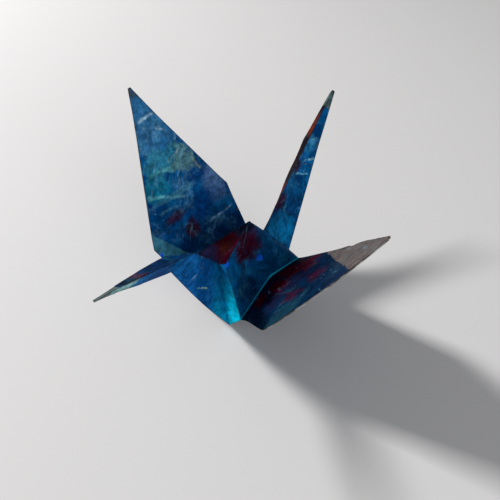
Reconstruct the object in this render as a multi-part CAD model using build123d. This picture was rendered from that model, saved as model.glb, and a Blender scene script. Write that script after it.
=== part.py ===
from build123d import *
import os
from math import acos, cos, radians, sin, sqrt, tan

# An origami crane, folded from one square of paper and set down on a table.
# X runs from the neck (-X) to the tail (+X), Y across the wings: the far wing is on +Y, the near wing
# on -Y. Z is up and the table is at Z = 0. Lengths are in millimetres, angles in degrees.

# The square and the stacks of layers that its folds leave
paper_side = 150.0
narrowing_angle = 11.25
sheet_stack = 0.4
limb_stack = 0.5
flap_stack = 0.3
flap_bond = 0.1
flap_inset = 0.5
slit_width = 0.3
slit_inner_margin = 1.0
slit_tip_margin = 8.0
tip_half_width = 0.5
steepest_mitre = 0.35

# The puffed body: hinges of the wings, shoulders beside neck and tail, roots of the two limbs
hinge_offset = 10.7
far_hinge_height = 1.6
far_hinge_tail_rise = 5.0
near_hinge_height = 4.8
near_hinge_tail_rise = 9.3
near_hinge_arch = 6.7
neck_shoulder_reach = 16.2
far_neck_shoulder_gap = 7.6
far_neck_shoulder_height = 25.6
near_neck_shoulder_gap = 5.5
near_neck_shoulder_height = 29.4
tail_shoulder_reach = 15.4
tail_shoulder_half_gap = 5.3
tail_shoulder_height = 14.8
neck_root_reach = 14.6
neck_root_height = 24.3
tail_root_reach = 7.3
tail_root_height = 25.4
belly_gap = 1.0

# The corners it stands on, trimmed level with the table
neck_foot_reach = 16.9
neck_foot_half_gap = 6.7
tail_foot_reach = 13.8
tail_foot_half_gap = 4.0
foot_trim = 0.3

# The wings: rise at the hinge, bend near the widest line, sweep towards the tail, twist at the widest line
far_wing_rise = 59.0
far_wing_bend = 15.8
far_wing_sweep = -2.9
far_wing_twist = 6.6
near_wing_rise = 45.9
near_wing_bend = 15.1
near_wing_sweep = 3.2
near_wing_twist = 4.7
wing_bend_half_span = 9.0
wing_bend_steps = 6

# The neck: a chest that rises, a bend, the neck proper and the head
chest_length = 21.3
chest_rise = 50.8
chest_yaw = -18.6
neck_rise = 24.2
neck_yaw = -15.6
neck_bend_slant = 5.3
neck_opening = 20.5
neck_roll = 51.5
head_length = 6.1
head_rise = 7.8
head_yaw = -3.6
neck_tuck = 14.8

# The tail: one straight limb, opened towards its tip
tail_rise = 26.3
tail_yaw = 16.2
tail_open_at = 42.0
tail_opening = 46.6
tail_roll = -3.2
tail_tuck = 11.0

# Lengths that the folds fix: the wing folds across the middle of the bird base
up = Vector(0, 0, 1)
wing_length = paper_side / 2
limb_taper = tan(radians(narrowing_angle))
wing_taper = tan(radians(2 * narrowing_angle))
hinge_half = wing_length * limb_taper
widest_at = paper_side * wing_taper / (limb_taper + wing_taper) - wing_length
widest_half = (wing_length + widest_at) * limb_taper
folded_corner_at = paper_side * (1 / (2 * cos(radians(2 * narrowing_angle))) - 0.5)
hump_height = paper_side * (sqrt(0.5) - 0.5)
hump_top = Vector(0, 0, near_hinge_height + sqrt(hump_height**2 - hinge_offset**2))
neck_root = Vector(-neck_root_reach, 0, neck_root_height)
tail_root = Vector(tail_root_reach, 0, tail_root_height)
far_neck_shoulder = Vector(-neck_shoulder_reach, far_neck_shoulder_gap, far_neck_shoulder_height)
near_neck_shoulder = Vector(-neck_shoulder_reach, -near_neck_shoulder_gap, near_neck_shoulder_height)
tail_shoulder = Vector(tail_shoulder_reach, tail_shoulder_half_gap, tail_shoulder_height)
neck_foot = Vector(-neck_foot_reach, neck_foot_half_gap, -foot_trim)
tail_foot = Vector(tail_foot_reach, tail_foot_half_gap, -foot_trim)


def heading(toward, rise, yaw):
    """Unit direction of a limb: toward is -1 for the neck end, +1 for the tail end."""
    flat = cos(radians(rise))
    return Vector(toward * flat * cos(radians(yaw)), flat * sin(radians(yaw)), sin(radians(rise)))


def panel_normal(panel):
    a, b, c = panel
    return (b - a).cross(c - a).normalized()


def corner_angle(panel, index):
    corner = panel[index]
    ahead = (panel[(index + 1) % 3] - corner).normalized()
    behind = (panel[(index + 2) % 3] - corner).normalized()
    return acos(max(-1.0, min(1.0, ahead.dot(behind))))


def key(point):
    return (round(point.X, 4), round(point.Y, 4), round(point.Z, 4))


def folded_sheet(panels, thickness):
    """A closed solid: half the thickness on each side of the panels, mitred where they fold."""
    around = {}
    edges = set()
    for panel in panels:
        for index, corner in enumerate(panel):
            around.setdefault(key(corner), []).append((panel_normal(panel), corner_angle(panel, index)))
            edges.add((key(corner), key(panel[(index + 1) % 3])))

    def shifted(corner, side):
        normals = around[key(corner)]
        mean = Vector()
        for normal, angle in normals:
            mean = mean + normal * angle
        mean = mean.normalized()
        all_round = sum(angle for _, angle in normals)
        lean = sum(mean.dot(normal) * angle for normal, angle in normals) / all_round
        return corner + mean * (side * thickness / 2 / max(lean, steepest_mitre))

    faces = []
    for panel in panels:
        over = [shifted(corner, 1) for corner in panel]
        under = [shifted(corner, -1) for corner in panel]
        faces.append(triangle(*over))
        faces.append(triangle(*reversed(under)))
        for index in range(3):
            following = (index + 1) % 3
            if (key(panel[following]), key(panel[index])) not in edges:
                faces.append(triangle(over[index], under[index], under[following]))
                faces.append(triangle(over[index], under[following], over[following]))
    return Solid(Shell(faces))


def triangle(a, b, c):
    return Face(Wire.make_polygon([a, b, c], close=True))


def strip(sections):
    """Panels between successive cross-sections, each an edge, a crease and an edge."""
    panels = []
    for (left0, mid0, right0), (left1, mid1, right1) in zip(sections, sections[1:]):
        panels += [(mid0, left0, left1), (mid0, left1, mid1), (right0, mid0, mid1), (right0, mid1, right1)]
    return panels


def turned_over(panels):
    return [tuple(reversed(panel)) for panel in panels]


def beside(point, side):
    """The point on the far side (+1) or the near side (-1) of the body."""
    return Vector(point.X, side * point.Y, point.Z)


def hinge(side):
    """Neck end, middle and tail end of a wing's hinge fold."""
    height, tail_end_rise, arch = (
        (near_hinge_height, near_hinge_tail_rise, near_hinge_arch)
        if side < 0
        else (far_hinge_height, far_hinge_tail_rise, 0.0)
    )
    neck_end = Vector(-hinge_half, side * hinge_offset, height)
    tail_end = Vector(hinge_half, side * hinge_offset, height + tail_end_rise)
    return neck_end, (neck_end + tail_end) * 0.5 + up * arch, tail_end


def smooth_step(share):
    share = max(0.0, min(1.0, share))
    return share * share * (3 - 2 * share)


def wing_places():
    """Distances from the hinge at which a wing is drawn: its folded corner, the bend and the tip."""
    bend_start = widest_at - wing_bend_half_span
    step = 2 * wing_bend_half_span / wing_bend_steps
    bend = [bend_start + step * index for index in range(wing_bend_steps + 1)]
    return [folded_corner_at] + bend + [wing_length]


def wing_sections(side):
    """Lines across a wing from its hinge to its tip: neck-side edge, middle, tail-side edge."""
    rise, bend, sweep, twist = (
        (far_wing_rise, far_wing_bend, far_wing_sweep, far_wing_twist)
        if side > 0
        else (near_wing_rise, near_wing_bend, near_wing_sweep, near_wing_twist)
    )
    neck_end, middle, tail_end = hinge(side)
    along = (tail_end - neck_end).normalized()
    chord_middle = (neck_end + tail_end) * 0.5
    arch = middle - chord_middle
    sections = [(neck_end, middle, tail_end)]
    centre = chord_middle
    before = 0.0
    for place in wing_places():
        past_bend_start = (before + place) / 2 - widest_at + wing_bend_half_span
        lift = radians(rise + bend * smooth_step(past_bend_start / (2 * wing_bend_half_span)))
        climb = Vector(0, side * cos(lift), sin(lift))
        climb = (climb - along * climb.dot(along)).normalized()
        axis = climb * cos(radians(sweep)) + along * sin(radians(sweep))
        across = along * cos(radians(sweep)) - climb * sin(radians(sweep))
        centre = centre + axis * (place - before)
        turn = radians(twist * min(place / widest_at, 1.0))
        across = across * cos(turn) + axis.cross(across) * (side * sin(turn))
        if place <= widest_at:
            half = hinge_half + (widest_half - hinge_half) * place / widest_at
            middle = centre + arch * (1 - place / widest_at)
        else:
            half = max(widest_half * (wing_length - place) / (wing_length - widest_at), tip_half_width)
            middle = centre
        sections.append((centre - across * half, middle, centre + across * half))
        before = place
    return sections


def underside(a, b, c):
    """Unit normal of a wing's panel on the side that faces the table."""
    normal = panel_normal((a, b, c))
    return normal if normal.Z < 0 else normal * -1


def wing_flap(side, edge):
    """The layer folded under a wing, from its edge (0 neck side, 2 tail side) to its axis."""
    rows = []
    for place, section in zip([0.0] + wing_places(), wing_sections(side)):
        if place > widest_at + 0.001:
            break
        if place <= folded_corner_at:
            share = 1 - place / folded_corner_at
        else:
            share = (place - folded_corner_at) / (widest_at - folded_corner_at)
        to_edge = section[edge] - section[1]
        inset = flap_inset / to_edge.length
        outer = section[1] + to_edge * (1 - inset)
        inner = section[1] + to_edge * min(max(share, inset), 1 - inset)
        rows.append((inner, outer))
    panels = []
    for (inner0, outer0), (inner1, outer1) in zip(rows, rows[1:]):
        panels += [(inner0, outer0, outer1), (inner0, outer1, inner1)]
    panels = [panel for panel in panels if len({key(corner) for corner in panel}) == 3]
    down = underside(*panels[-1]) * ((sheet_stack + flap_stack) / 2 - flap_bond)
    return folded_sheet([tuple(corner + down for corner in panel) for panel in panels], flap_stack)


def wing_slit(side):
    """The line under a wing where the sheet's edges meet, from the folded corner almost to the tip."""
    sections = wing_sections(side)[1:]
    line = [middle for _, middle, _ in sections]
    line[0] = line[0] + (line[1] - line[0]).normalized() * slit_inner_margin
    line[-1] = line[-1] + (line[-2] - line[-1]).normalized() * slit_tip_margin
    drops = [underside(left, a, b) for (left, _, _), a, b in zip(sections, line, line[1:])]
    drops.append(drops[-1])
    low = [middle + drop for middle, drop in zip(line, drops)]
    panels = []
    for index in range(len(line) - 1):
        panels.append((line[index], line[index + 1], low[index + 1]))
        panels.append((line[index], low[index + 1], low[index]))
    return folded_sheet(panels, slit_width)


def body_half(side):
    """Hump face, shoulders and wing on one side, printed side out."""
    neck_end, middle, tail_end = hinge(side)
    neck_top = far_neck_shoulder if side > 0 else near_neck_shoulder
    tail_top = beside(tail_shoulder, side)
    neck_low = beside(neck_foot, side)
    tail_low = beside(tail_foot, side)
    rim = [neck_top, neck_end, middle, tail_end, tail_top]
    panels = [(hump_top, a, b) for a, b in zip(rim, rim[1:])]
    panels += [(neck_end, neck_top, neck_low), (tail_top, tail_end, tail_low)]
    panels += [(neck_top, hump_top, neck_root), (neck_low, neck_top, neck_root)]
    panels += [(hump_top, tail_top, tail_root), (tail_top, tail_low, tail_root)]
    panels += strip(wing_sections(side))
    return panels if side < 0 else turned_over(panels)


def flank(axis, opening, roll, side):
    """Direction from a limb's ridge down one of its two sides."""
    level = axis.cross(up).normalized()
    level = level if level.Y > 0 else level * -1
    raised = axis.cross(level)
    raised = raised if raised.Z > 0 else raised * -1
    angle = radians(side * opening + roll)
    return level * sin(angle) - raised * cos(angle)


def limb_section(ridge, axis, to_tip, opening, roll, slant=0.0):
    """Far edge, ridge and near edge of a limb, to_tip before its point."""
    width = max((to_tip - slant) * limb_taper, 2 * tip_half_width)
    far_edge, near_edge = [ridge + axis * slant + flank(axis, opening, roll, s) * width for s in (1, -1)]
    return far_edge, ridge, near_edge


def feet_section(foot, root):
    return beside(foot, 1), root, beside(foot, -1)


def neck():
    axis = heading(-1, neck_rise, neck_yaw)
    head_axis = heading(-1, head_rise, head_yaw)
    bend = neck_root + heading(-1, chest_rise, chest_yaw) * chest_length
    bend_to_tip = wing_length - neck_tuck - chest_length
    nape = bend + axis * (bend_to_tip - head_length)
    beak = nape + head_axis * head_length
    sections = [
        feet_section(neck_foot, neck_root),
        limb_section(bend, axis, bend_to_tip, neck_opening, neck_roll, neck_bend_slant),
        limb_section(nape, axis, head_length, neck_opening, neck_roll),
        limb_section(beak, head_axis, 0.0, neck_opening, neck_roll),
    ]
    return folded_sheet(strip(sections), limb_stack)


def tail():
    axis = heading(1, tail_rise, tail_yaw)
    length = wing_length - tail_tuck
    sections = [
        feet_section(tail_foot, tail_root),
        limb_section(tail_root + axis * tail_open_at, axis, length - tail_open_at, tail_opening, tail_roll),
        limb_section(tail_root + axis * length, axis, 0.0, tail_opening, tail_roll),
    ]
    return folded_sheet(strip(sections), limb_stack)


def belly(side, hinge_end, foot):
    """The leg layer that hangs below the hinge between its middle and a foot."""
    middle = hinge(side)[1] - up * belly_gap
    return folded_sheet([(hinge_end, middle, beside(foot, side))], sheet_stack)


crane = folded_sheet(body_half(-1) + body_half(1), sheet_stack)
crane = crane + [neck(), tail()]
for side in (-1, 1):
    neck_end, _, tail_end = hinge(side)
    layers = [belly(side, neck_end, neck_foot), belly(side, tail_end, tail_foot)]
    layers += [wing_flap(side, 0), wing_flap(side, 2)]
    for layer in layers:
        crane = crane + layer
    crane = crane - wing_slit(side)

# The lowest corners are flattened where they touch the table
table = Box(2 * paper_side, 2 * paper_side, paper_side, align=(Align.CENTER, Align.CENTER, Align.MAX))
crane = crane - table

# The origin is the middle of the crane's outline on the table
outline = crane.bounding_box()
crane = Pos(-outline.center().X, -outline.center().Y, -outline.min.Z) * crane

os.makedirs("parts", exist_ok=True)
export_step(crane, "parts/paper_crane.step")
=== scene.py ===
from math import cos, radians, sin, sqrt, tan

import bmesh
import bpy
from mathutils import Matrix, Vector


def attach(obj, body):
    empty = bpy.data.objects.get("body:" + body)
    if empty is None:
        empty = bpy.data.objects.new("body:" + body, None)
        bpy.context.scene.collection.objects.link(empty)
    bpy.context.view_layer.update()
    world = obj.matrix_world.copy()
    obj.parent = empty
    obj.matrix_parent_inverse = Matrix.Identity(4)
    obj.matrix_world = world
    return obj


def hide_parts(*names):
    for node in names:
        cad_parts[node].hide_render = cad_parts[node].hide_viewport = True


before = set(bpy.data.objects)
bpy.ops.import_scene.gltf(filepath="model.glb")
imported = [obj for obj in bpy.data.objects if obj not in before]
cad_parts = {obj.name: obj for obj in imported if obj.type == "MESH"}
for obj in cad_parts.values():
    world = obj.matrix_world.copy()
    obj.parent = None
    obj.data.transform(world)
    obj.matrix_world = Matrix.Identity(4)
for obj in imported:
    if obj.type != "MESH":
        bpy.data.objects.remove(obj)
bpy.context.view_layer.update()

MILLIMETRE = 0.001

# Sizes of the fold, in millimetres and degrees
paper_side = 150.0
narrowing_angle = 11.25
sheet_thickness = 0.3
wing_layer_thickness = 0.2
limb_tip_width = 1.0

hinge_offset = 10.7
far_hinge_height = 1.6
far_hinge_tail_rise = 5.0
near_hinge_height = 4.8
near_hinge_tail_rise = 9.3
near_hinge_arch = 6.7
far_neck_shoulder = Vector((-16.2, 7.6, 25.6))
near_neck_shoulder = Vector((-16.2, -5.5, 29.4))
tail_shoulder = Vector((15.4, 5.3, 14.8))
neck_root = Vector((-14.6, 0.0, 24.3))
tail_root = Vector((7.3, 0.0, 25.4))
neck_foot = Vector((-16.9, 6.7, 0.1))
tail_foot = Vector((13.8, 4.0, 0.1))
belly_gap = 1.0

far_wing_set = dict(rise=59.0, bend=15.8, sweep=-2.9, twist=6.6, tip_turn=0.0, tip_half=0.5)
near_wing_set = dict(rise=45.9, bend=15.1, sweep=3.2, twist=4.7, tip_turn=-8.0, tip_half=0.75)
wing_bend_half_span = 9.0
wing_bend_steps = 6
wing_outer_steps = 4

chest_length = 21.3
chest_rise = 50.8
chest_yaw = -18.6
neck_rise = 24.2
neck_yaw = -15.6
neck_bend_slant = 5.3
neck_opening = 20.5
neck_roll = 51.5
head_length = 6.1
head_rise = 7.8
head_yaw = -3.6
neck_tuck = 14.8

tail_rise = 26.3
tail_yaw = 16.2
tail_open_at = 42.0
tail_opening = 46.6
tail_roll = -3.2
tail_tuck = 11.0

# Finer shapes of the paper, in millimetres, degrees and shares
slit_half_width = 0.12
ridge_rounding = 0.42
layer_inset = 0.3
nape_width = 1.6
beak_width = 0.7
chest_bulge = 1.5
neck_far_bulge = 0.7
neck_near_bulge = 1.1
tail_inner_places = (20.0, 31.0)
tail_inner_opening = 33.0
sharp_fold_angle = 9.0

# Slack of the panels, in metres and noise cells to a metre, and how finely the panels are divided
slack_height = 0.00015
slack_reach = 0.006
slack_scale = 75.0
slack_seed = 3.0
sheet_levels = 4
layer_levels = 3

# Painted crease shade along the folds and a painted highlight along the near wing's hinge: where they start and
# end to fade, in metres from the fold, and how worn the folds are
fold_shade_fade = (0.0001, 0.00042)
hinge_highlight_fade = (0.00028, 0.00046)
fold_wear_share = 0.12

# The body's axis stands here in the shared frame, and the camera and lamps look at a point on it
body_axis = Vector((-0.279, 8.248, 0.0))
look_at_height = 15.0

# Camera, fitted to the photo: degrees, metres, and pixels of its square frame
camera_turn = 45.735
camera_tilt = 44.526
camera_roll = 0.243
camera_distance = 0.171944
frame_pixels = 500
focal_pixels = 477.28
optical_centre = (249.204, 262.302)
sensor_width = 36.0

table_half_size = 3.0
table_drop = 0.0001

# Regions of the folded sheet, and the print that each of them carries
REGION_PRINTS = {
    "far_wing": "far_wing",
    "far_wing_under": "far_wing_under",
    "near_wing": "near_wing",
    "near_wing_under": "near_wing_under",
    "near_hump": "near_hump",
    "far_hump": "far_hump",
    "neck_crest": "neck_crest",
    "near_shoulder": "near_shoulder",
    "far_shoulder": "neck_crest",
    "tail_shoulder": "far_hump",
    "chest_near_flank": "chest_near",
    "chest_far_flank": "chest_far",
    "neck_near_flank": "neck_near",
    "neck_far_flank": "neck_far",
    "tail_near_flank": "tail_near",
    "tail_far_flank": "tail_far",
    "belly": "near_wing_under",
}
REGIONS = list(REGION_PRINTS)

# Lengths that the folds fix
up = Vector((0, 0, 1))
wing_length = paper_side / 2
limb_taper = tan(radians(narrowing_angle))
wing_taper = tan(radians(2 * narrowing_angle))
hinge_half = wing_length * limb_taper
widest_at = paper_side * wing_taper / (limb_taper + wing_taper) - wing_length
widest_half = (wing_length + widest_at) * limb_taper
folded_corner_at = paper_side * (1 / (2 * cos(radians(2 * narrowing_angle))) - 0.5)
hump_height = paper_side * (sqrt(0.5) - 0.5)
hump_top = Vector((0, 0, near_hinge_height + sqrt(hump_height**2 - hinge_offset**2)))


def heading(toward, rise, yaw):
    """Unit direction of a limb: toward is -1 for the neck end, +1 for the tail end."""
    flat = cos(radians(rise))
    return Vector((toward * flat * cos(radians(yaw)), flat * sin(radians(yaw)), sin(radians(rise))))


def beside(point, side):
    return Vector((point.x, side * point.y, point.z))


def strip(sections):
    """Panels between successive cross-sections, each an edge, a crease and an edge."""
    panels = []
    for (left0, mid0, right0), (left1, mid1, right1) in zip(sections, sections[1:]):
        panels += [(mid0, left0, left1), (mid0, left1, mid1), (right0, mid0, mid1), (right0, mid1, right1)]
    return panels


def hinge(side):
    """Neck end, middle and tail end of a wing's hinge fold."""
    height, tail_end_rise, arch = (
        (near_hinge_height, near_hinge_tail_rise, near_hinge_arch)
        if side < 0
        else (far_hinge_height, far_hinge_tail_rise, 0.0)
    )
    neck_end = Vector((-hinge_half, side * hinge_offset, height))
    tail_end = Vector((hinge_half, side * hinge_offset, height + tail_end_rise))
    return neck_end, (neck_end + tail_end) * 0.5 + up * arch, tail_end


def smooth_step(share):
    share = max(0.0, min(1.0, share))
    return share * share * (3 - 2 * share)


def wing_places():
    """Distances from the hinge at which a wing is drawn: its folded corner, the bend and the tip."""
    bend_start = widest_at - wing_bend_half_span
    bend_end = widest_at + wing_bend_half_span
    places = [folded_corner_at, (folded_corner_at + bend_start) / 2]
    bend_step = 2 * wing_bend_half_span / wing_bend_steps
    places += [bend_start + bend_step * step for step in range(wing_bend_steps + 1)]
    outer = wing_length - bend_end
    return places + [bend_end + outer * step / wing_outer_steps for step in range(1, wing_outer_steps + 1)]


def wing_sections(side):
    """Lines across a wing from its hinge to its tip: neck-side edge, middle, tail-side edge."""
    shape = far_wing_set if side > 0 else near_wing_set
    neck_end, middle, tail_end = hinge(side)
    along = (tail_end - neck_end).normalized()
    chord_middle = (neck_end + tail_end) * 0.5
    arch = middle - chord_middle
    sections = [(neck_end, middle, tail_end)]
    centre = chord_middle
    before = 0.0
    sweep, rise = radians(shape["sweep"]), radians(shape["rise"])
    climb = Vector((0, side * cos(rise), sin(rise)))
    climb = (climb - along * climb.dot(along)).normalized()
    flat_axis = climb * cos(sweep) + along * sin(sweep)
    flat_across = along * cos(sweep) - climb * sin(sweep)
    outward = flat_axis.cross(flat_across) * side
    for place_on_wing in wing_places():
        past_bend_start = (before + place_on_wing) / 2 - widest_at + wing_bend_half_span
        bend = radians(shape["bend"] * smooth_step(past_bend_start / (2 * wing_bend_half_span)))
        past_widest = (place_on_wing - widest_at) / (wing_length - widest_at)
        turn = radians(shape["twist"] * min(place_on_wing / widest_at, 1.0))
        across = flat_across * cos(turn) + outward * sin(turn)
        axis = flat_axis * cos(bend) - flat_axis.cross(across) * (side * sin(bend))
        centre = centre + axis * (place_on_wing - before)
        tip_turn = radians(shape["tip_turn"] * smooth_step(past_widest))
        across = across * cos(tip_turn) + axis.cross(across) * (side * sin(tip_turn))
        if place_on_wing <= widest_at:
            half = hinge_half + (widest_half - hinge_half) * place_on_wing / widest_at
            middle = centre + arch * (1 - place_on_wing / widest_at)
        else:
            half = max(widest_half * (1 - past_widest), shape["tip_half"])
            middle = centre
        sections.append((centre - across * half, middle, centre + across * half))
        before = place_on_wing
    return sections


def wing_soft_points(side):
    """Points of a wing through which its edges and surface run smoothly: all but its corners."""
    soft = []
    sections = wing_sections(side)
    for distance, (left, middle, right) in list(zip([0.0] + wing_places(), sections))[1:-1]:
        soft.append(middle)
        if abs(distance - widest_at) > 0.01:
            soft += [left, right]
    return soft


def under_layer(side, edge):
    """The half of the sheet folded in under a wing, from its edge (0 neck side, 2 tail side) to its axis."""
    region = "near_wing_under" if side < 0 else "far_wing_under"
    sections = wing_sections(side)
    rows = [(sections[0][edge], sections[0][edge])]
    for section in sections[1:]:
        rounding = (section[1] - (section[0] + section[2]) * 0.5) * ridge_rounding
        middle = section[1] - rounding
        to_edge = section[edge] - middle
        outward = to_edge.normalized()
        inset = min(layer_inset, to_edge.length / 2)
        rows.append((middle + outward * slit_half_width, section[edge] - outward * inset))
    drops = []
    for (inner0, outer0), (inner1, outer1) in zip(rows, rows[1:]):
        down = (outer1 - inner1).cross(outer1 - outer0).normalized()
        drops.append(down if down.z < 0 else -down)
    drops = [drops[0]] + [(a + b).normalized() for a, b in zip(drops, drops[1:])] + [drops[-1]]
    depth = (sheet_thickness + wing_layer_thickness) / 2
    rows = [(inner + drop * depth, outer + drop * depth) for (inner, outer), drop in zip(rows, drops)]
    panels = []
    for (inner0, outer0), (inner1, outer1) in zip(rows, rows[1:]):
        panels += [(inner0, outer1, inner1), (inner0, outer0, outer1)]
    panels = [panel for panel in panels if len({corner_key(corner) for corner in panel}) == 3]
    if (side < 0) != (edge == 0):
        panels = [tuple(reversed(panel)) for panel in panels]
    return [(region, panel) for panel in panels]


def body_half(side):
    """Hump face, shoulders, grooves and wing on one side, by region, printed side out."""
    neck_end, middle, tail_end = hinge(side)
    neck_top = far_neck_shoulder if side > 0 else near_neck_shoulder
    tail_top = beside(tail_shoulder, side)
    neck_low = beside(neck_foot, side)
    tail_low = beside(tail_foot, side)
    rim = [neck_top, neck_end, middle, tail_end, tail_top]
    name = "near" if side < 0 else "far"
    hump, wing, shoulder = name + "_hump", name + "_wing", name + "_shoulder"
    panels = [(hump, (hump_top, a, b)) for a, b in zip(rim, rim[1:])]
    panels += [(shoulder, (neck_end, neck_top, neck_low)), ("tail_shoulder", (tail_top, tail_end, tail_low))]
    panels += [("neck_crest", (neck_top, hump_top, neck_root)), (shoulder, (neck_low, neck_top, neck_root))]
    panels += [(hump, (hump_top, tail_top, tail_root)), ("tail_shoulder", (tail_top, tail_low, tail_root))]
    panels += [(wing, panel) for panel in strip(wing_sections(side))]
    if side > 0:
        panels = [(region, tuple(reversed(panel))) for region, panel in panels]
    return panels


def flank(axis, opening, roll, side):
    """Direction from a limb's ridge down one of its two sides."""
    level = axis.cross(up).normalized()
    level = level if level.y > 0 else -level
    raised = axis.cross(level)
    raised = raised if raised.z > 0 else -raised
    angle = radians(side * opening + roll)
    return level * sin(angle) - raised * cos(angle)


def limb_section(ridge, axis, to_tip, opening, roll, slant=0.0, least=limb_tip_width):
    """Far edge, ridge and near edge of a limb, to_tip before its point."""
    width = max((to_tip - slant) * limb_taper, least)
    far_edge, near_edge = [ridge + axis * slant + flank(axis, opening, roll, s) * width for s in (1, -1)]
    return far_edge, ridge, near_edge


def swollen(first, second, far_bulge, near_bulge):
    """A section halfway between two others, with its edges pushed out from its ridge."""
    far_edge, ridge, near_edge = [(a + b) * 0.5 for a, b in zip(first, second)]
    far_edge += (far_edge - ridge).normalized() * far_bulge
    near_edge += (near_edge - ridge).normalized() * near_bulge
    return far_edge, ridge, near_edge


def limb_panels(sections, names):
    """Panels of a limb's two flanks, by region, with a name for each stretch between sections."""
    panels = []
    for index, panel in enumerate(strip(sections)):
        flank_name = "_far_flank" if index % 4 < 2 else "_near_flank"
        panels.append((names[index // 4] + flank_name, panel))
    return panels


def neck_sections():
    axis = heading(-1, neck_rise, neck_yaw)
    head_axis = heading(-1, head_rise, head_yaw)
    bend = neck_root + heading(-1, chest_rise, chest_yaw) * chest_length
    bend_to_tip = wing_length - neck_tuck - chest_length
    nape = bend + axis * (bend_to_tip - head_length)
    beak = nape + head_axis * head_length
    foot_section = (beside(neck_foot, 1), neck_root, beside(neck_foot, -1))
    bend_section = limb_section(bend, axis, bend_to_tip, neck_opening, neck_roll, neck_bend_slant)
    nape_section = limb_section(nape, axis, head_length, neck_opening, neck_roll, least=nape_width)
    return [
        foot_section,
        swollen(foot_section, bend_section, 0.0, chest_bulge),
        bend_section,
        swollen(bend_section, nape_section, neck_far_bulge, neck_near_bulge),
        nape_section,
        limb_section(beak, head_axis, 0.0, neck_opening, neck_roll, least=beak_width),
    ]


def tail_sections():
    axis = heading(1, tail_rise, tail_yaw)
    length = wing_length - tail_tuck
    foot_section = (beside(tail_foot, 1), tail_root, beside(tail_foot, -1))
    open_section = limb_section(
        tail_root + axis * tail_open_at, axis, length - tail_open_at, tail_opening, tail_roll
    )
    inner_sections = []
    for reach in tail_inner_places:
        ridge = tail_root + axis * reach
        far_edge = limb_section(ridge, axis, length - reach, tail_inner_opening, tail_roll)[0]
        near_edge = foot_section[2].lerp(open_section[2], reach / tail_open_at)
        inner_sections.append((far_edge, ridge, near_edge))
    point = limb_section(tail_root + axis * length, axis, 0.0, tail_opening, tail_roll)
    return [foot_section] + inner_sections + [open_section, point]


def belly_panels():
    panels = []
    for side in (-1, 1):
        neck_end, middle, tail_end = hinge(side)
        middle = middle - up * belly_gap
        panels.append(("belly", (neck_end, middle, beside(neck_foot, side))))
        panels.append(("belly", (tail_end, middle, beside(tail_foot, side))))
    return panels


def corner_key(point):
    return tuple(round(value, 3) for value in point)


def fold_object(name, panels, soft_points):
    """A sheet of panels that meet at shared corners. Its folds are its free edges and where regions meet."""
    mesh = bpy.data.meshes.new(name)
    corners = {}
    shaped = bmesh.new()
    region = shaped.faces.layers.int.new("region")
    fold = shaped.edges.layers.float.new("fold")
    hinge_highlight_layer = shaped.edges.layers.bool.new("hinge_highlight")
    corner = shaped.verts.layers.float.new("corner")
    for name_of_region, panel in panels:
        found = []
        for point in panel:
            key = corner_key(point)
            if key not in corners:
                corners[key] = shaped.verts.new((point + body_axis) * MILLIMETRE)
            found.append(corners[key])
        face = shaped.faces.new(found)
        face[region] = REGIONS.index(name_of_region)
    near_hinge = [corners.get(corner_key(point)) for point in hinge(-1)]
    for edge in shaped.edges:
        meeting = {face[region] for face in edge.link_faces}
        edge[fold] = 1.0 if len(edge.link_faces) == 1 or len(meeting) > 1 else 0.0
        # Edges of the near wing's hinge, along which a highlight is painted
        edge[hinge_highlight_layer] = edge.verts[0] in near_hinge and edge.verts[1] in near_hinge
    soft = {corner_key(point) for point in soft_points}
    for key, vertex in corners.items():
        vertex[corner] = 0.0 if key in soft else 1.0
    shaped.to_mesh(mesh)
    shaped.free()
    sheet = bpy.data.objects.new(name, mesh)
    bpy.context.scene.collection.objects.link(sheet)
    return sheet


COLOUR, VALUE, VECTOR = "NodeSocketColor", "NodeSocketFloat", "NodeSocketVector"
VALUE_OPERATIONS = ("DOT_PRODUCT", "LENGTH", "DISTANCE")


def add_node(tree, kind, inputs=None, **settings):
    """A node with its settings. Its inputs are plain values or sockets of other nodes."""
    made = tree.nodes.new(kind)
    for key, value in settings.items():
        setattr(made, key, value)
    for key, value in (inputs or {}).items():
        if isinstance(value, bpy.types.NodeSocket):
            tree.links.new(value, made.inputs[key])
        else:
            made.inputs[key].default_value = value
    return made


def calc(tree, operation, *values):
    return add_node(tree, "ShaderNodeMath", dict(enumerate(values)), operation=operation).outputs[0]


def product(tree, first, *others):
    for other in others:
        first = calc(tree, "MULTIPLY", first, other)
    return first


def vector_calc(tree, operation, *values, scale=None):
    inputs = dict(enumerate(values))
    if scale is not None:
        inputs["Scale"] = scale
    done = add_node(tree, "ShaderNodeVectorMath", inputs, operation=operation)
    return done.outputs["Value" if operation in VALUE_OPERATIONS else "Vector"]


def step_between(tree, value, low, high, start=0.0, end=1.0):
    """A smooth step of value from start to end between low and high."""
    inputs = {"Value": value, "From Min": low, "From Max": high, "To Min": start, "To Max": end}
    return add_node(tree, "ShaderNodeMapRange", inputs, interpolation_type="SMOOTHSTEP").outputs["Result"]


def kept_value(tree, label, kind="FLOAT"):
    """A value that the mesh keeps under a name."""
    kept = add_node(tree, "GeometryNodeInputNamedAttribute", {"Name": label}, data_type=kind)
    return kept.outputs["Attribute"]


def edges_only(tree, geometry, chosen):
    """The chosen edges of a sheet."""
    inputs = {"Geometry": geometry, "Selection": chosen}
    return add_node(tree, "GeometryNodeSeparateGeometry", inputs, domain="EDGE").outputs["Selection"]


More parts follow.
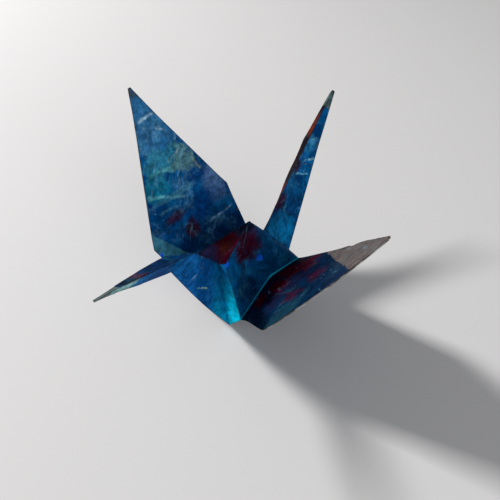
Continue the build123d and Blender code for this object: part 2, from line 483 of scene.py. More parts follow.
def paper_tree(materials):
    """Geometry nodes that divide the panels, slacken them away from the folds and colour them by region."""
    tree = bpy.data.node_groups.new("Folded Paper", "GeometryNodeTree")
    tree.is_modifier = True
    inputs = {"Geometry": "NodeSocketGeometry", "Levels": "NodeSocketInt"}
    inputs.update(dict.fromkeys(("Slack Height", "Slack Reach", "Slack Scale", "Seed"), VALUE))
    for label, kind in inputs.items():
        tree.interface.new_socket(name=label, in_out="INPUT", socket_type=kind)
    tree.interface.new_socket(name="Geometry", in_out="OUTPUT", socket_type="NodeSocketGeometry")
    given = add_node(tree, "NodeGroupInput").outputs

    # Folds stay sharp, the rest of each panel is rounded
    fold = kept_value(tree, "fold")
    sharp = {"data_type": "FLOAT", "operation": "GREATER_THAN"}
    is_fold = add_node(tree, "FunctionNodeCompare", {0: fold, 1: 0.5}, **sharp).outputs[0]
    folds = edges_only(tree, given["Geometry"], is_fold)
    hinge_highlight = edges_only(tree, given["Geometry"], kept_value(tree, "hinge_highlight", "BOOLEAN"))
    values = {
        "Mesh": given["Geometry"],
        "Level": given["Levels"],
        "Edge Crease": fold,
        "Vertex Crease": kept_value(tree, "corner"),
    }
    geometry = add_node(tree, "GeometryNodeSubdivisionSurface", values).outputs["Mesh"]

    # Each point keeps its distance to the nearest fold and to the near wing's hinge, along which a highlight is
    # painted
    gaps = {}
    for label, lines in (("fold_gap", folds), ("hinge_gap", hinge_highlight)):
        near = add_node(tree, "GeometryNodeProximity", {0: lines}, target_element="EDGES")
        gaps[label] = near.outputs["Distance"]
        values = {"Geometry": geometry, "Name": label, "Value": gaps[label]}
        kept = add_node(tree, "GeometryNodeStoreNamedAttribute", values, data_type="FLOAT", domain="POINT")
        geometry = kept.outputs["Geometry"]

    # Away from the folds the paper swells and dips a little
    position = add_node(tree, "GeometryNodeInputPosition").outputs[0]
    values = {"Vector": position, "W": given["Seed"], "Scale": given["Slack Scale"], "Detail": 1.0}
    noise = add_node(tree, "ShaderNodeTexNoise", values, noise_dimensions="4D").outputs[0]
    values = {"Value": noise, "From Min": 0.25, "From Max": 0.75, "To Min": -1.0, "To Max": 1.0}
    swing = add_node(tree, "ShaderNodeMapRange", values).outputs["Result"]
    slack = step_between(tree, gaps["fold_gap"], 0.0, given["Slack Reach"])
    outward = add_node(tree, "GeometryNodeInputNormal").outputs[0]
    offset = vector_calc(tree, "SCALE", outward, scale=product(tree, swing, slack, given["Slack Height"]))
    moved = add_node(tree, "GeometryNodeSetPosition", {"Geometry": geometry, "Offset": offset})

    real = add_node(tree, "GeometryNodeRealizeInstances", {"Geometry": moved.outputs["Geometry"]})
    geometry = real.outputs["Geometry"]
    region = kept_value(tree, "region", "INT")
    for number, name in enumerate(REGIONS):
        here = add_node(tree, "FunctionNodeCompare", {2: region, 3: number}, data_type="INT", operation="EQUAL")
        values = {"Geometry": geometry, "Selection": here.outputs[0], "Material": materials[name]}
        geometry = add_node(tree, "GeometryNodeSetMaterial", values).outputs["Geometry"]
    add_node(tree, "NodeGroupOutput", {"Geometry": geometry})
    return tree


def ink(red, green, blue):
    """A print colour given as it looks on screen, 0 to 255."""
    def linear(value):
        share = value / 255
        return share / 12.92 if share <= 0.04045 else ((share + 0.055) / 1.055) ** 2.4
    return (linear(red), linear(green), linear(blue), 1.0)


def group(name, inputs):
    """An empty shader group that puts out a colour, and what goes into it."""
    tree = bpy.data.node_groups.new(name, "ShaderNodeTree")
    for label, kind in inputs.items():
        tree.interface.new_socket(name=label, in_out="INPUT", socket_type=kind)
    tree.interface.new_socket(name="Color", in_out="OUTPUT", socket_type=COLOUR)
    return tree, add_node(tree, "NodeGroupInput").outputs


def blend_colour(tree, factor, below, above):
    mix = add_node(tree, "ShaderNodeMix", {"Factor": factor, 6: below, 7: above}, data_type="RGBA")
    return mix.outputs[2]


def noise_of(tree, where, scale, detail, roughness=0.55, distortion=0.0, output=0):
    inputs = {"Vector": where, "Scale": scale, "Detail": detail}
    inputs.update({"Roughness": roughness, "Distortion": distortion})
    return add_node(tree, "ShaderNodeTexNoise", inputs).outputs[output]


def off_middle(tree, share):
    """How far a share lies from one half."""
    return calc(tree, "SUBTRACT", share, 0.5)


def carried(tree, where, scale, detail, push):
    """A place pushed about by noise, by up to half of push in metres each way."""
    drift = noise_of(tree, where, scale, detail, output="Color")
    drift = vector_calc(tree, "SUBTRACT", drift, (0.5, 0.5, 0.5))
    return vector_calc(tree, "MULTIPLY_ADD", drift, (push, push, push), where)


def flowing(tree, where):
    """A place carried along by the ink's flow."""
    return carried(tree, where, scale=48.0, detail=4.0, push=0.026)


def mottled(tree, shade, where, scale, detail, roughness, spread):
    """A colour made lighter and darker by fine noise, by up to a spread."""
    mottle = noise_of(tree, where, scale, detail, roughness)
    return vector_calc(tree, "SCALE", shade, scale=step_between(tree, mottle, 0.3, 0.7, 1 - spread, 1 + spread))


def marbled_print():
    """Inks that ran into each other: deep and mid streams and paler clouds."""
    inputs = {"Place": VECTOR, "Deep": COLOUR, "Mid": COLOUR, "Cloud": COLOUR, "Cloud Share": VALUE}
    tree, given = group("Marbled Print", inputs)
    flow = flowing(tree, given["Place"])
    streams = step_between(tree, noise_of(tree, flow, scale=95.0, detail=9.0, roughness=0.66), 0.40, 0.58)
    puffs = step_between(tree, noise_of(tree, flow, scale=70.0, detail=12.0, roughness=0.72), 0.49, 0.63)
    body = blend_colour(tree, streams, given["Deep"], given["Mid"])
    cloud = product(tree, puffs, given["Cloud Share"])
    add_node(tree, "NodeGroupOutput", {"Color": blend_colour(tree, cloud, body, given["Cloud"])})
    return tree


def drawn_out(tree, still, flow, way):
    """A place a little carried along by the flow and drawn out one way, for scratches that bend."""
    mix = add_node(tree, "ShaderNodeMix", {"Factor": 0.25, 4: still, 5: flow}, data_type="VECTOR")
    along = vector_calc(tree, "DOT_PRODUCT", still, way)
    shortened = vector_calc(tree, "SCALE", way, scale=product(tree, along, -0.95))
    return vector_calc(tree, "ADD", mix.outputs[1], shortened)


def pale_marks():
    """Light wisps, fine scratches and specks over the inks, and a mottle in all of them."""
    inputs = {"Base": COLOUR, "Place": VECTOR, "Light": COLOUR, "Light Share": VALUE}
    inputs.update({"Scratches": VALUE, "Scratch Way": VECTOR})
    tree, given = group("Pale Marks", inputs)
    where = given["Place"]
    flow = flowing(tree, where)
    ridges = noise_of(tree, flow, scale=105.0, detail=3.0, roughness=0.5)
    ridges = calc(tree, "ABSOLUTE", off_middle(tree, ridges))
    halo = product(tree, step_between(tree, ridges, 0.0, 0.08, 1.0, 0.0), 0.4)
    vein = product(tree, step_between(tree, ridges, 0.0, 0.02, 1.0, 0.0), 0.75)
    gaps = step_between(tree, noise_of(tree, where, scale=85.0, detail=4.0), 0.46, 0.64)
    lit = product(tree, calc(tree, "MAXIMUM", halo, vein), gaps, given["Light Share"])
    body = blend_colour(tree, lit, given["Base"], given["Light"])

    drawn = drawn_out(tree, where, flow, given["Scratch Way"])
    lines = step_between(tree, noise_of(tree, drawn, scale=620.0, detail=2.0, roughness=0.5), 0.60, 0.70)
    patchy = step_between(tree, noise_of(tree, where, scale=110.0, detail=3.0), 0.50, 0.64)
    scratch = product(tree, lines, patchy, given["Scratches"])
    body = blend_colour(tree, scratch, body, SCRATCH_BLUE)
    specks = step_between(tree, noise_of(tree, where, scale=1700.0, detail=1.0, roughness=0.5), 0.76, 0.80)
    body = blend_colour(tree, product(tree, specks, given["Scratches"]), body, SPECK_BLUE)
    body = mottled(tree, body, where, scale=380.0, detail=8.0, roughness=0.75, spread=0.5)
    add_node(tree, "NodeGroupOutput", {"Color": body})
    return tree


def ink_field(name, own_inputs):
    """An empty group for a field of ink over a base colour."""
    return group(name, {"Base": COLOUR, "Ink": COLOUR, "Place": VECTOR, **own_inputs, "Strength": VALUE})


def lay_ink(tree, given, inside, shade):
    """Puts a field's ink on its base colour where it is inside, which finishes the group."""
    share = product(tree, inside, given["Strength"])
    add_node(tree, "NodeGroupOutput", {"Color": blend_colour(tree, share, given["Base"], shade)})
    return tree


def ink_patch():
    """One patch of another ink with a ragged, soft border."""
    own_inputs = {"Centre": VECTOR, "Reach": VECTOR, "Ragged": VALUE, "Soft": VALUE}
    tree, given = ink_field("Ink Patch", own_inputs)
    where = given["Place"]
    away = vector_calc(tree, "SUBTRACT", where, given["Centre"])
    away = vector_calc(tree, "LENGTH", vector_calc(tree, "DIVIDE", away, given["Reach"]))
    rough = noise_of(tree, where, scale=190.0, detail=10.0, roughness=0.7, distortion=0.8)
    rough = product(tree, off_middle(tree, rough), given["Ragged"])
    left = calc(tree, "SUBTRACT", 1.0, calc(tree, "ADD", away, rough))
    inside = step_between(tree, calc(tree, "DIVIDE", left, given["Soft"]), -0.5, 0.5)
    shade = mottled(tree, given["Ink"], where, scale=420.0, detail=8.0, roughness=0.75, spread=0.45)
    return lay_ink(tree, given, inside, shade)


def ink_border():
    """Another ink on one side of a straight or torn border through a point."""
    own_inputs = {"Point": VECTOR, "Way": VECTOR, "Torn": VALUE, "Soft": VALUE}
    tree, given = ink_field("Ink Border", own_inputs)
    where = given["Place"]
    away = vector_calc(tree, "SUBTRACT", where, given["Point"])
    past = vector_calc(tree, "DOT_PRODUCT", away, given["Way"])
    torn = off_middle(tree, noise_of(tree, where, scale=320.0, detail=6.0, roughness=0.6))
    past = calc(tree, "ADD", past, product(tree, torn, given["Torn"]))
    inside = step_between(tree, calc(tree, "DIVIDE", past, given["Soft"]), -0.5, 0.5)
    shade = mottled(tree, given["Ink"], where, scale=500.0, detail=6.0, roughness=0.7, spread=0.2)
    return lay_ink(tree, given, inside, shade)


def ink_stroke():
    """A thin, wavering stroke of ink from one place to another, fading at its ends."""
    tree, given = ink_field("Ink Stroke", {"Start": VECTOR, "Run": VECTOR, "Width": VALUE})
    where, run = given["Place"], given["Run"]
    wavering = carried(tree, where, scale=130.0, detail=3.0, push=0.004)
    gone = vector_calc(tree, "SUBTRACT", wavering, given["Start"])
    ahead = vector_calc(tree, "DOT_PRODUCT", gone, run)
    share = calc(tree, "DIVIDE", ahead, vector_calc(tree, "DOT_PRODUCT", run, run))
    gap = vector_calc(tree, "DISTANCE", gone, vector_calc(tree, "SCALE", run, scale=share))
    line = step_between(tree, calc(tree, "DIVIDE", gap, given["Width"]), 0.2, 1.0, 1.0, 0.0)
    ends = step_between(tree, product(tree, share, calc(tree, "SUBTRACT", 1.0, share)), 0.0, 0.16)
    broken = step_between(tree, noise_of(tree, where, scale=420.0, detail=4.0), 0.3, 0.6, 0.35, 1.0)
    return lay_ink(tree, given, product(tree, line, ends, broken), given["Ink"])


def fold_gap(tree, label):
    """Each point's distance to a fold, which the mesh keeps under a name."""
    return add_node(tree, "ShaderNodeAttribute", attribute_name=label).outputs["Fac"]


def fold_shade_and_wear():
    """Painted crease shade as a dark line along the folds, and cracked, pale ink along them."""
    tree, given = group("Fold Shade And Wear", {"Base": COLOUR, "Place": VECTOR, "Wear": VALUE})
    line = step_between(tree, fold_gap(tree, "fold_gap"), *fold_shade_fade, 1.0, 0.0)
    broken = noise_of(tree, given["Place"], scale=260.0, detail=6.0, roughness=0.7)
    broken = step_between(tree, broken, 0.5, 0.7)
    # Painted crease shade: a dark line along every fold
    dark = blend_colour(tree, product(tree, line, 0.5), given["Base"], FOLD_SHADE)
    crack = product(tree, line, broken, given["Wear"])
    add_node(tree, "NodeGroupOutput", {"Color": blend_colour(tree, crack, dark, WORN_GREY)})
    return tree


def in_metres(lengths):
    return [value * MILLIMETRE for value in lengths]


def patch(centre, reach, shade, ragged=2.0, soft=0.8, strength=0.8):
    """Values of an ink patch. Its centre is in the shared frame, in millimetres."""
    return "patch", {
        "Ink": shade,
        "Centre": in_metres(centre),
        "Reach": in_metres(reach),
        "Ragged": ragged,
        "Soft": soft,
        "Strength": strength,
    }


def border(point, way, shade, torn=1.4, soft=0.6, strength=0.95):
    """Values of an ink border. The ink lies on the side that way points to."""
    return "border", {
        "Ink": shade,
        "Point": in_metres(point),
        "Way": way,
        "Torn": torn * MILLIMETRE,
        "Soft": soft * MILLIMETRE,
        "Strength": strength,
    }


def stroke(start, end, shade, width=0.6, strength=0.6):
    """Values of an ink stroke between two places, with its half width."""
    return "stroke", {
        "Ink": shade,
        "Start": in_metres(start),
        "Run": in_metres([b - a for a, b in zip(start, end)]),
        "Width": width * MILLIMETRE,
        "Strength": strength,
    }


def inks(
    deep,
    mid,
    light,
    cloud,
    light_share=0.6,
    cloud_share=0.3,
    scratches=0.5,
    scratch_way=(0.6, 0.3, 0.74),
):
    """Values of a region's marbling, and of the pale marks on it."""
    marbling = {"Deep": deep, "Mid": mid, "Cloud": cloud, "Cloud Share": cloud_share}
    marks = {"Light": light, "Light Share": light_share, "Scratches": scratches, "Scratch Way": scratch_way}
    return marbling, marks


def empty_material(name):
    """A material without nodes, its tree and the place of each point on the object."""
    made = bpy.data.materials.new(name)
    made.use_nodes = True
    tree = made.node_tree
    tree.nodes.clear()
    return made, tree, add_node(tree, "ShaderNodeTexCoord").outputs["Object"]


def coat_with(tree, values):
    """Makes a surface with these values the material's own."""
    surface = add_node(tree, "ShaderNodeBsdfPrincipled", values)
    add_node(tree, "ShaderNodeOutputMaterial", {"Surface": surface.outputs["BSDF"]})


def layer(tree, kind, where, values):
    """The colour that a shader group gives with these values."""
    made = add_node(tree, "ShaderNodeGroup", {"Place": where, **values}, node_tree=groups[kind])
    return made.outputs["Color"]


def printed_paper(name, colours, fields, painted_hinge_highlight):
    """A region's paper: its own marbling, its fields of ink, worn folds with painted crease shade, a painted
    hinge highlight where asked, and a faint fibre relief.
    """
    made, tree, where = empty_material(name)
    marbling, marks = colours
    colour = layer(tree, "print", where, marbling)
    for kind, values in fields:
        colour = layer(tree, kind, where, {"Base": colour, **values})
    colour = layer(tree, "marks", where, {"Base": colour, **marks})
    # Painted crease shade and real cracked wear along the folds
    colour = layer(tree, "fold_shade_wear", where, {"Base": colour, "Wear": fold_wear_share})
    if painted_hinge_highlight:
        # A painted highlight along the near wing's hinge, as if its ridge caught the light
        line = step_between(tree, fold_gap(tree, "hinge_gap"), *hinge_highlight_fade, 1.0, 0.0)
        colour = blend_colour(tree, line, colour, HINGE_HIGHLIGHT_BLUE)
    fibres = noise_of(tree, where, scale=1400.0, detail=4.0, roughness=0.6)
    relief = add_node(tree, "ShaderNodeBump", {"Strength": 0.1, "Distance": 0.0002, "Height": fibres})
    values = {
        "Base Color": colour,
        "Roughness": step_between(tree, fibres, 0.3, 0.7, 0.55, 0.7),
        "IOR": 1.45,
        "Specular IOR Level": 0.02,
        "Normal": relief.outputs["Normal"],
    }
    coat_with(tree, values)
    return made


def cut_edge(name, dark, pale):
    """The sheet's edge: bare fibre with the print's ink bleeding over it, or, in pale colours, a painted
    highlight along the rim.
    """
    made, tree, where = empty_material(name)
    bare = step_between(tree, noise_of(tree, where, scale=220.0, detail=4.0, roughness=0.6), 0.42, 0.6)
    colour = blend_colour(tree, bare, dark, pale)
    coat_with(tree, {"Base Color": colour, "Roughness": 0.8, "Specular IOR Level": 0.2})
    return made


NAVY = ink(0, 58, 120)
BLUE = ink(2, 92, 152)
STEEL = ink(92, 156, 194)
PERIWINKLE = ink(88, 124, 172)
TEAL = ink(24, 112, 134)
CRIMSON = ink(60, 0, 20)
WINE = ink(58, 6, 20)
PLUM = ink(24, 8, 36)
RUST = ink(78, 28, 8)
HIGHLIGHT_TURQUOISE = ink(0, 208, 246)
DEEP_BLUE_DOT = ink(20, 88, 220)
BLUE_DOT = ink(24, 110, 255)
TAUPE = ink(86, 79, 78)
MOSS_GREY = ink(74, 90, 86)
NIGHT = ink(4, 28, 56)
SCRATCH_BLUE = ink(104, 156, 190)
SPECK_BLUE = ink(140, 190, 210)
# Painted highlight along the near wing's hinge
HINGE_HIGHLIGHT_BLUE = ink(0, 196, 236)
# Painted crease shade along the folds
FOLD_SHADE = ink(20, 18, 24)
WORN_GREY = ink(150, 160, 165)
TABLE_GREY = ink(214, 213, 213)

# Inks that marble each print
hump_inks = inks(
    ink(0, 74, 130), ink(0, 102, 164), ink(60, 156, 186), ink(8, 124, 168),
    light_share=0.7, cloud_share=0.35, scratches=0.6,
)
MARBLING = {
    "far_wing": inks(
        NAVY, BLUE, STEEL, ink(24, 118, 162),
        light_share=0.8, cloud_share=0.35, scratches=0.8,
    ),
    "far_wing_under": inks(
        ink(0, 42, 88), ink(2, 68, 118), ink(70, 128, 164), ink(14, 84, 112),
        cloud_share=0.35,
    ),
    # The near wing's marbling is darker than the far wing's: partly its darker print, partly painted shade of
    # the far wing's shadow falling on it
    "near_wing": inks(
        ink(0, 20, 46), ink(0, 30, 60), ink(30, 78, 92), ink(2, 38, 64),
        light_share=0.4, scratches=0.3, scratch_way=(0.5, 0.6, -0.6),
    ),
    "near_wing_under": inks(NIGHT, ink(8, 56, 96), ink(40, 104, 136), TEAL),
    "near_hump": hump_inks,
    "far_hump": hump_inks,
    "neck_crest": inks(
        ink(30, 0, 14), ink(50, 0, 14), ink(66, 2, 16), ink(12, 8, 38),
        light_share=0.35, cloud_share=0.45, scratches=0.05,
    ),
    # The near shoulder: bright turquoise fading into blue, a painted highlight where the curving paper catches
    # the light
    "near_shoulder": inks(
        HIGHLIGHT_TURQUOISE, ink(0, 196, 232), ink(70, 206, 226), ink(90, 200, 220),
        light_share=0.3, cloud_share=0.15, scratches=0.3, scratch_way=(0, 0.2, 0.98),
    ),
    "chest_near": inks(
        ink(4, 66, 124), ink(14, 86, 148), ink(70, 134, 182), ink(44, 106, 168),
        light_share=0.5, cloud_share=0.4, scratch_way=(0.98, 0, 0.1),
    ),
    "chest_far": inks(ink(8, 58, 106), ink(18, 76, 126), STEEL, PERIWINKLE),
    "neck_near": inks(
        ink(0, 54, 108), ink(0, 84, 144), ink(70, 146, 176), ink(10, 104, 150),
        light_share=0.5, cloud_share=0.35, scratches=0.4, scratch_way=(0.9, 0.2, -0.4),
    ),
    # The neck's upper flank: inks darker than the near flank's, partly print and partly painted shade of a
    # flank turned away from the light
    "neck_far": inks(
        ink(0, 30, 66), ink(0, 44, 86), ink(34, 100, 124), ink(2, 58, 92),
        light_share=0.5, scratches=0.4, scratch_way=(0.9, 0.2, -0.4),
    ),
    "tail_near": inks(
        ink(0, 54, 104), ink(4, 88, 146), ink(70, 140, 178), ink(12, 104, 154),
        cloud_share=0.35, scratches=0.6, scratch_way=(0.87, 0.25, -0.4),
    ),
    # The tail's far flank: near-black, partly its crimson print and partly painted shade of a flank turned away
    # from the light
    "tail_far": inks(
        ink(2, 4, 14), ink(18, 0, 6), ink(14, 26, 44), ink(2, 14, 32),
        light_share=0.3, cloud_share=0.45, scratches=0.1,
    ),
}

# Fields of ink on the prints, with places in millimetres of the shared frame
FIELDS = {
    "far_wing": [
        patch((-11, 42.5, 61), (9, 6, 12), ink(60, 120, 162), ragged=2.6, soft=0.9, strength=0.6),
        patch((-10, 38.3, 47.5), (9, 7, 4), ink(54, 138, 160), ragged=3.2, soft=0.6, strength=0.65),
        patch((-1.5, 38.4, 45), (5, 7, 5), ink(108, 154, 148), ragged=3.4, soft=0.6, strength=0.55),
        patch((-15.5, 36.8, 41.5), (5, 6, 5), ink(22, 126, 150), ragged=3.0, soft=0.7, strength=0.65),
        patch((8.5, 35.3, 32.5), (5, 6, 7), PERIWINKLE, ragged=2.4, soft=1.0, strength=0.75),
        patch((-10, 35.6, 36), (9, 6, 1.1), ink(72, 146, 172), soft=0.7, strength=0.6),
        patch((-2, 33.5, 29), (10, 6, 4), NAVY, soft=1.0),
        patch((-18.5, 33, 31), (6, 6, 5), ink(0, 60, 112), ragged=1.8, soft=0.9),
        patch((-3, 27, 16), (15, 7, 7), ink(0, 50, 100), ragged=1.6, soft=1.0),
        patch((-12.2, 32.7, 28.9), (4, 4, 1.7), CRIMSON, ragged=2.6, strength=0.75),
        patch((-7.2, 30.2, 22.7), (3, 4, 3), CRIMSON, ragged=2.4, strength=0.9),
        border(
            (-18.6, 29.2, 22.5), (-0.776, -0.291, -0.555), ink(62, 132, 152),
            torn=0.8, soft=0.25, strength=0.9,
        ),
        patch((-23.5, 28.5, 20.4), (1, 1.2, 1), DEEP_BLUE_DOT, ragged=0.6, soft=0.5, strength=1.0),
        border((-13, 44.6, 69.4), (0.1, 0.28, 0.95), ink(56, 70, 82), torn=2.5, soft=2.0, strength=0.85),
        stroke((-15.2, 42.5, 61.5), (-8.1, 43.6, 63.5), ink(160, 196, 216), width=0.7, strength=0.8),
        stroke((-14.5, 42.1, 60.4), (-5, 41.7, 56.3), ink(150, 188, 212), strength=0.75),
        stroke((-14.9, 41.7, 59.2), (-6.5, 42.2, 58.3), ink(140, 182, 208), width=0.5, strength=0.7),
        stroke((-9.2, 38.6, 47.4), (-1.1, 39.8, 49.1), ink(164, 200, 188), width=0.8, strength=0.7),
        stroke((0.5, 38.7, 45.2), (4.9, 37.2, 38.8), ink(150, 180, 164), width=0.8),
        stroke((-17.9, 37.4, 45.8), (-6.1, 38.3, 45.2), ink(110, 196, 196), width=1.0),
        stroke((-20.5, 35.4, 39.8), (-12, 35.2, 36.6), ink(110, 196, 204), width=1.0, strength=0.75),
        stroke((-13.5, 35, 36.8), (-4.7, 34.6, 32.6), ink(106, 184, 200), width=0.9, strength=0.7),
        stroke((-18.4, 33.4, 32.6), (-9.1, 33.9, 31.8), ink(80, 150, 180), width=0.8, strength=0.55),
        stroke((-0.6, 29.5, 21.2), (13.2, 30.2, 22.6), ink(140, 184, 220), width=0.8, strength=0.7),
        stroke((-16.4, 31.4, 26.2), (3.6, 30.1, 22.2), ink(60, 130, 176), width=0.9, strength=0.45),
    ],
    "near_wing": [
        patch((0, -8, 19), (17, 9, 7), PLUM, ragged=2.2, soft=1.2, strength=0.7),
        patch((4, -7.1, 18.9), (4, 4, 4), CRIMSON, ragged=2.6, strength=0.9),
        patch((-4.5, -8.8, 19), (3.6, 4, 4), CRIMSON, ragged=2.6, strength=0.9),
        patch((-9.5, -5.9, 13.4), (3.2, 3, 3), CRIMSON, ragged=2.6, strength=0.9),
        patch((9, -10.5, 21.5), (5, 4, 4), CRIMSON, ragged=2.6),
        patch((-17.4, -21.9, 27.5), (9, 6, 8), ink(28, 66, 78), ragged=3.6, soft=0.5, strength=0.45),
        patch((-9, -17, 27), (4, 4, 4), CRIMSON, ragged=2.8, soft=0.7, strength=0.6),
        patch((1, -18, 30), (4, 4, 4), CRIMSON, ragged=2.8, soft=0.7, strength=0.55),
        border((2.2, -25.9, 37), (0.79, -0.256, 0.551), TAUPE, torn=1.6, soft=0.4, strength=1.0),
    ],
    "near_hump": [
        patch((-5, 6.2, 28), (7, 4, 7), CRIMSON, soft=0.9, strength=0.95),
        patch((-9.5, 0.5, 14), (5, 4, 7), ink(16, 30, 76), ragged=1.8, soft=1.0, strength=0.7),
        patch((-1, 7, 33), (3, 3, 1.6), ink(4, 24, 46), ragged=1.2),
        patch((-1.6, 1.7, 22.5), (1.2, 1.2, 1.2), BLUE_DOT, ragged=0.7, soft=0.4, strength=1.0),
        patch((-16.5, 2.8, 29.1), (1.3, 1.3, 1.3), BLUE_DOT, ragged=0.6, soft=0.5, strength=1.0),
        stroke((-4.5, 5.6, 29.2), (-6.8, 3.4, 23.1), ink(14, 60, 120), strength=0.8),
    ],
    "far_hump": [
        patch((-4, 12, 29), (6, 4, 5), CRIMSON, ragged=2.2, soft=0.9),
    ],
    "neck_crest": [
        patch((-9.3, 9.4, 25.8), (3.2, 3.2, 3.2), RUST, ragged=2.4, soft=1.0, strength=0.7),
        patch((-2, 8.5, 33), (4.5, 4, 3), ink(4, 26, 52), ragged=1.8, soft=0.9, strength=0.85),
        patch((-15.5, 13.5, 26), (4, 4, 4), ink(12, 30, 66), ragged=2.4, soft=0.9, strength=0.7),
    ],
    "near_shoulder": [
        # This blue patch lets the painted highlight fade down the shoulder
        patch((-16.4, 4, 29), (8, 9, 14.5), ink(8, 88, 146), ragged=0.7, soft=1.3, strength=0.95),
        patch((-16.5, 2.8, 29.1), (1.3, 1.3, 1.3), BLUE_DOT, ragged=0.6, soft=0.5, strength=1.0),
    ],
    "chest_near": [
        patch((-20, 2.2, 5), (5, 6, 11), ink(0, 132, 166), soft=1.0, strength=0.85),
        patch((-16.9, 4.8, 14), (4, 6, 12), ink(4, 112, 158), ragged=1.4, soft=1.2, strength=0.85),
        stroke((-28.5, 3.8, 27.2), (-23.2, 4, 22.4), ink(130, 176, 166), width=0.5, strength=0.85),
    ],
    "neck_near": [
        patch((-54.5, -3.6, 51.4), (5.5, 4, 3.6), ink(138, 186, 182), ragged=1.2, soft=0.6, strength=0.85),
        stroke((-51.1, -0.7, 51), (-40.7, 1.8, 46.4), ink(70, 150, 170)),
        border((-58.4, -3.8, 53), (-0.95, -0.2, 0.2), ink(104, 110, 108), torn=1.0),
    ],
    "neck_far": [
        patch((-48.5, -0.5, 50), (3.4, 3, 3), CRIMSON, ragged=2.4, soft=0.7, strength=0.9),
        patch((-52.5, -2, 51.5), (2.6, 2.6, 2.6), ink(6, 20, 34), ragged=1.8, soft=0.7),
        border((-55.5, -3.5, 53), (-0.95, -0.2, 0.2), ink(84, 100, 98), soft=0.8),
    ],
    "tail_near": [
        patch((41, 16.8, 42), (4, 3.5, 3), ink(38, 112, 158), ragged=1.4, soft=0.4, strength=0.7),
        stroke((34.5, 15.7, 38), (43.6, 15.1, 35.9), ink(130, 196, 214), width=0.7, strength=0.85),
        stroke((28.6, 14.2, 35.7), (38.6, 13, 31.5), ink(110, 184, 208), strength=0.8),
        stroke((20, 10.5, 25), (24.2, 12.2, 30.8), ink(60, 156, 190), width=0.7),
        patch((31, 15.4, 38.4), (3, 2, 3), WINE),
        patch((18.6, 11.2, 30.3), (4.5, 2, 2.4), WINE),
        patch((15, 8, 19), (8, 5, 7), ink(0, 146, 212), soft=1.0, strength=0.75),
        border((55.5, 21.2, 49.6), (0.87, 0.25, 0.43), MOSS_GREY),
    ],
    "tail_far": [
        patch((48.2, 21.3, 45.8), (5, 4, 5), ink(92, 34, 14), ragged=2.4, strength=0.9),
        patch((24, 14, 32), (3, 4, 2.2), ink(78, 14, 10), soft=0.7, strength=0.85),
        border((56.5, 22, 49.6), (0.87, 0.25, 0.43), MOSS_GREY),
    ],
}

# Prints that carry the painted highlight along the near wing's hinge
HINGE_HIGHLIGHT_PRINTS = ("near_wing", "near_hump")


def print_materials():
    """The paper of each region."""
    made = {}
    for name, colours in MARBLING.items():
        fields = FIELDS.get(name, [])
        made[name] = printed_paper(name + "_print", colours, fields, name in HINGE_HIGHLIGHT_PRINTS)
    return {region: made[name] for region, name in REGION_PRINTS.items()}


def plain_mesh(carrier):
    """The carrier's shape with its modifiers applied."""
    shaped = carrier.evaluated_get(bpy.context.evaluated_depsgraph_get())
    return bpy.data.meshes.new_from_object(shaped)


def folded_paper(name, panels, tree, edge, soft_points=(), thickness=sheet_thickness, levels=sheet_levels):
    """The finished sheet for some panels, as a plain mesh with its thickness."""
    sheet = fold_object(name, panels, soft_points)
    slacken = sheet.modifiers.new("slack", "NODES")
    slacken.node_group = tree
    values = {
        "Levels": levels,
        "Slack Height": slack_height,
        "Slack Reach": slack_reach,
        "Slack Scale": slack_scale,
        "Seed": slack_seed,
    }
    for socket in tree.interface.items_tree:
        if socket.in_out == "INPUT" and socket.name in values:
            slacken[socket.identifier] = values[socket.name]
    mesh = plain_mesh(sheet)
    sheet.modifiers.remove(slacken)
    sheet.data = mesh
    mesh.materials.append(edge)
    thick = sheet.modifiers.new("thickness", "SOLIDIFY")
    thick.thickness = thickness * MILLIMETRE
    thick.offset = 0.0
    thick.use_even_offset = True
    thick.use_quality_normals = True
    thick.thickness_clamp = 2.0
    thick.material_offset_rim = len(mesh.materials) - 1
    mesh = plain_mesh(sheet)
    sheet.modifiers.remove(thick)
    sheet.data = mesh
    return sheet


def join_sheets(name, sheets):
    """One object from several sheets of the same folded square."""
    bpy.ops.object.select_all(action="DESELECT")
    for sheet in sheets:
        sheet.select_set(True)
    whole = sheets[0]
    bpy.context.view_layer.objects.active = whole
    bpy.ops.object.join()
    whole.name = name
    for polygon in whole.data.polygons:
        polygon.use_smooth = True
    whole.data.set_sharp_from_angle(angle=radians(sharp_fold_angle))
    return whole


def looked_at():
    """The point that the camera and the lamps look at, in metres."""
    return (body_axis + up * look_at_height) * MILLIMETRE


def set_camera():
    """The photo's view: a camera near the table, looking down at the neck side."""
    turn, tilt, roll = radians(camera_turn), radians(camera_tilt), radians(camera_roll)
    ahead = Vector((sin(turn) * cos(tilt), cos(turn) * cos(tilt), -sin(tilt)))
    right = Vector((cos(turn), -sin(turn), 0.0))
    above = right.cross(ahead)
    side = right * cos(roll) + above * sin(roll)
    top = above * cos(roll) - right * sin(roll)
    lens = bpy.data.cameras.new("camera")
    lens.sensor_fit = "HORIZONTAL"
    lens.sensor_width = sensor_width
    lens.lens = sensor_width * focal_pixels / frame_pixels
    lens.shift_x = (frame_pixels / 2 - optical_centre[0]) / frame_pixels
    lens.shift_y = (optical_centre[1] - frame_pixels / 2) / frame_pixels
    lens.clip_start = 0.01
    camera = bpy.data.objects.new("camera", lens)
    bpy.context.scene.collection.objects.link(camera)
    pose = Matrix((side, top, -ahead)).transposed().to_4x4()
    pose.translation = looked_at() - ahead * camera_distance
    camera.matrix_world = pose
    bpy.context.scene.camera = camera


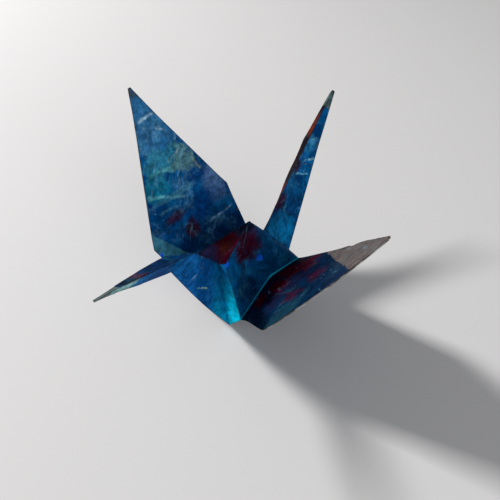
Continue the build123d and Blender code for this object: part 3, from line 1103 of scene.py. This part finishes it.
def soft_light(name, turn, tilt, distance, size, power, colour):
    """A square lamp that looks at the crane from a compass turn and a tilt above the table."""
    lamp = bpy.data.lights.new(name, "AREA")
    lamp.size = size
    lamp.energy = power
    lamp.color = colour
    lit = bpy.data.objects.new(name, lamp)
    bpy.context.scene.collection.objects.link(lit)
    turn, tilt = radians(turn), radians(tilt)
    way = Vector((cos(turn) * cos(tilt), sin(turn) * cos(tilt), sin(tilt)))
    lit.location = looked_at() + way * distance
    lit.rotation_euler = way.to_track_quat("Z", "Y").to_euler()


def set_stage():
    """A plain pale table top, soft light from the far side and the room's own light."""
    mesh = bpy.data.meshes.new("table_top")
    shaped = bmesh.new()
    bmesh.ops.create_grid(shaped, x_segments=1, y_segments=1, size=table_half_size)
    shaped.to_mesh(mesh)
    shaped.free()
    table = bpy.data.objects.new("table_top", mesh)
    table.location.z = -table_drop
    bpy.context.scene.collection.objects.link(table)
    pale = bpy.data.materials.new("table_pale")
    pale.use_nodes = True
    surface = pale.node_tree.nodes["Principled BSDF"]
    surface.inputs["Base Color"].default_value = TABLE_GREY
    surface.inputs["Roughness"].default_value = 0.7
    surface.inputs["Specular IOR Level"].default_value = 0.2
    table.data.materials.append(pale)
    soft_light("window", turn=108, tilt=36, distance=1.3, size=0.19, power=19.0, colour=(1.0, 0.985, 0.97))
    soft_light("room", turn=250, tilt=16, distance=1.0, size=0.7, power=5.0, colour=(0.99, 0.99, 1.0))
    world = bpy.data.worlds.new("room_light")
    world.use_nodes = True
    sky = world.node_tree.nodes["Background"]
    sky.inputs["Color"].default_value = (0.9, 0.92, 0.95, 1.0)
    sky.inputs["Strength"].default_value = 0.25
    bpy.context.scene.world = world


groups = {
    "print": marbled_print(),
    "marks": pale_marks(),
    "patch": ink_patch(),
    "border": ink_border(),
    "stroke": ink_stroke(),
    "fold_shade_wear": fold_shade_and_wear(),
}
tree = paper_tree(print_materials())
dark_edge = cut_edge("cut_edge", ink(58, 44, 38), ink(112, 112, 110))
# Pale rims of the near wing's folded-in layers: a painted highlight along the wing's lower edge
highlit_edge = cut_edge("highlit_cut_edge", ink(120, 120, 118), ink(190, 192, 192))
body_panels = body_half(-1) + body_half(1)
neck, tail = neck_sections(), tail_sections()
neck_panels = limb_panels(neck, ["chest"] * 2 + ["neck"] * 3)
tail_panels = limb_panels(tail, ["tail"] * 4)
neck_soft_points = neck[1] + neck[3] + neck[4][::2]
sheets = [
    folded_paper("body_sheet", body_panels, tree, dark_edge, wing_soft_points(-1) + wing_soft_points(1)),
    folded_paper("neck_sheet", neck_panels, tree, dark_edge, neck_soft_points),
    folded_paper("tail_sheet", tail_panels, tree, dark_edge, tail[1] + tail[2]),
    folded_paper("belly_sheet", belly_panels(), tree, dark_edge),
]
for side, edge in ((-1, highlit_edge), (1, dark_edge)):
    for half in (0, 2):
        panels = under_layer(side, half)
        sheets.append(folded_paper("wing_layer", panels, tree, edge, (), wing_layer_thickness, layer_levels))
crane = join_sheets("folded_crane", sheets)
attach(crane, "root")
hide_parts("paper_crane")

set_stage()
set_camera()
bpy.context.scene.view_settings.view_transform = "Standard"
